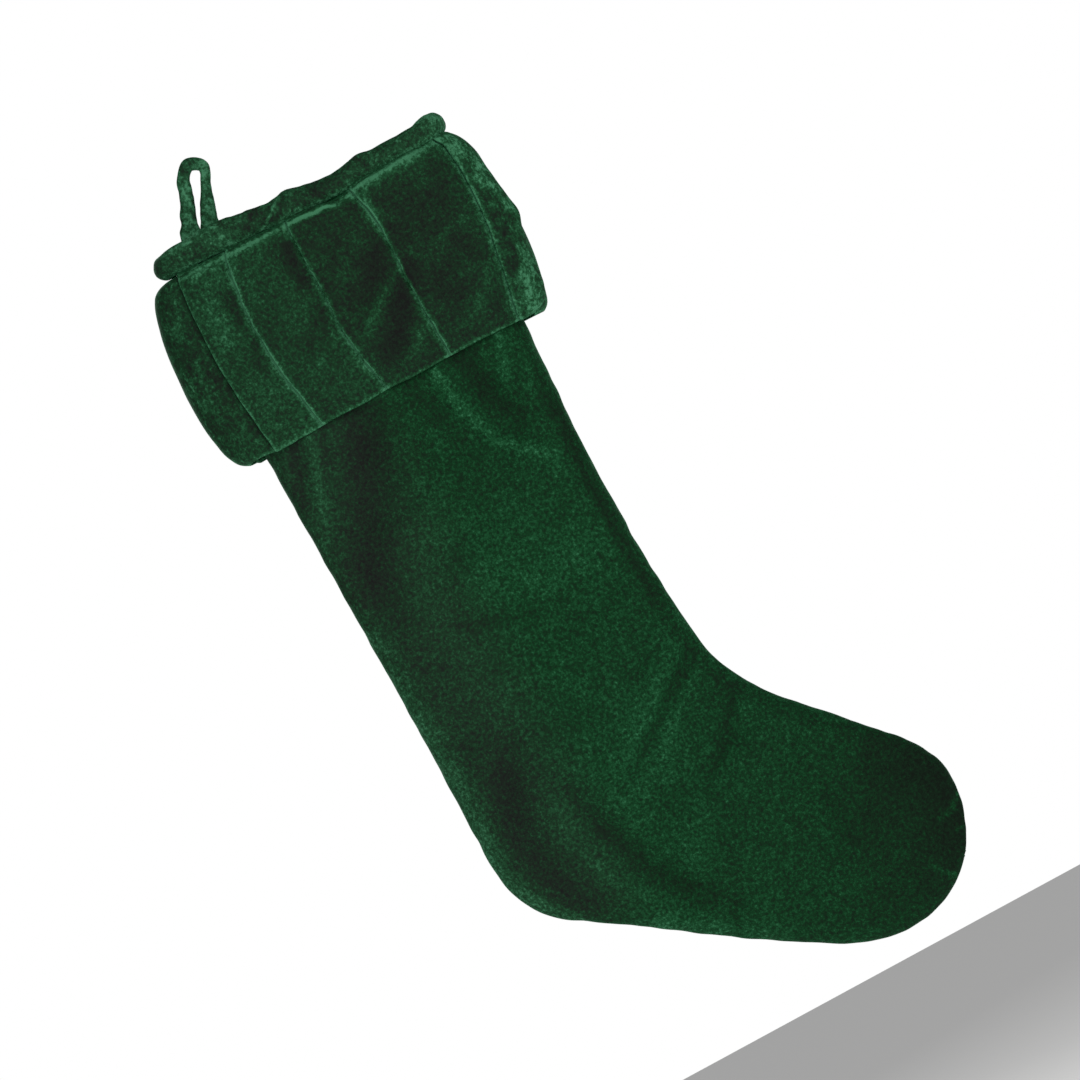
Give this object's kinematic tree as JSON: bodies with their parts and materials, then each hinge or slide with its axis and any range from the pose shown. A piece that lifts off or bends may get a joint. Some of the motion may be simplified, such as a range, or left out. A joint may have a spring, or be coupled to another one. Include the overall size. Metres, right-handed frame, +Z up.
{
  "type": "hanging stocking",
  "caption": "Velvet hanging stocking with a knife-pleated cuff, a stuffed band round its mouth and a hanging loop; it swings on the loop, its mouth opens and its cuff lifts",
  "frame": {"origin": "the hook's seat: the middle of the upper end of the loop's hole, where a hook bears", "axes": "+Z up along the leg, +X towards the toe, +Y towards the wall behind it, so the shown side faces -Y"},
  "size_m": [0.2593, 0.0566, 0.5393],
  "materials": {
    "velvet": "cut velvet pile, deep green, matt with a sheen along the folds",
    "lining": "plain woven green lining, slightly satin",
    "thread": "green sewing thread",
    "wadding": "white polyester wadding"
  },
  "bodies": {
    "loop": {"hanging_loop": "velvet"},
    "back": {"shell_back": "velvet", "lining_back": "lining", "mouth_band_back": "velvet", "band_filler_back": "wadding", "mouth_seam_back": "thread", "cuff_pleats_back": "velvet", "cuff_lining_back": "lining", "side_seam": "thread", "loop_end_heel_side": "velvet", "loop_end_toe_side": "velvet", "loop_tack": "thread"},
    "front": {"shell_front": "velvet", "lining_front": "lining", "mouth_band_front": "velvet", "band_filler_front": "wadding", "mouth_seam_front": "thread"},
    "front_cuff": {"cuff_pleats_front": "velvet", "cuff_lining_front": "lining"}
  },
  "joints": [
    {"name": "loop_swing", "type": "hinge", "parent": "loop", "child": "back", "pos_m": [-0.01229, 0, -0.03242], "axis": [1, 0, 0], "range_deg": [-75, 75]},
    {"name": "mouth_open", "type": "hinge", "parent": "back", "child": "front", "pos_m": [0.13921, -0.004, -0.53373], "axis": [1, 0, 0], "range_deg": [0, 5]},
    {"name": "cuff_lift", "type": "hinge", "parent": "front", "child": "front_cuff", "pos_m": [0.04021, -0.0326, -0.04992], "axis": [-1, 0, 0], "range_deg": [0, 20]}
  ]
}
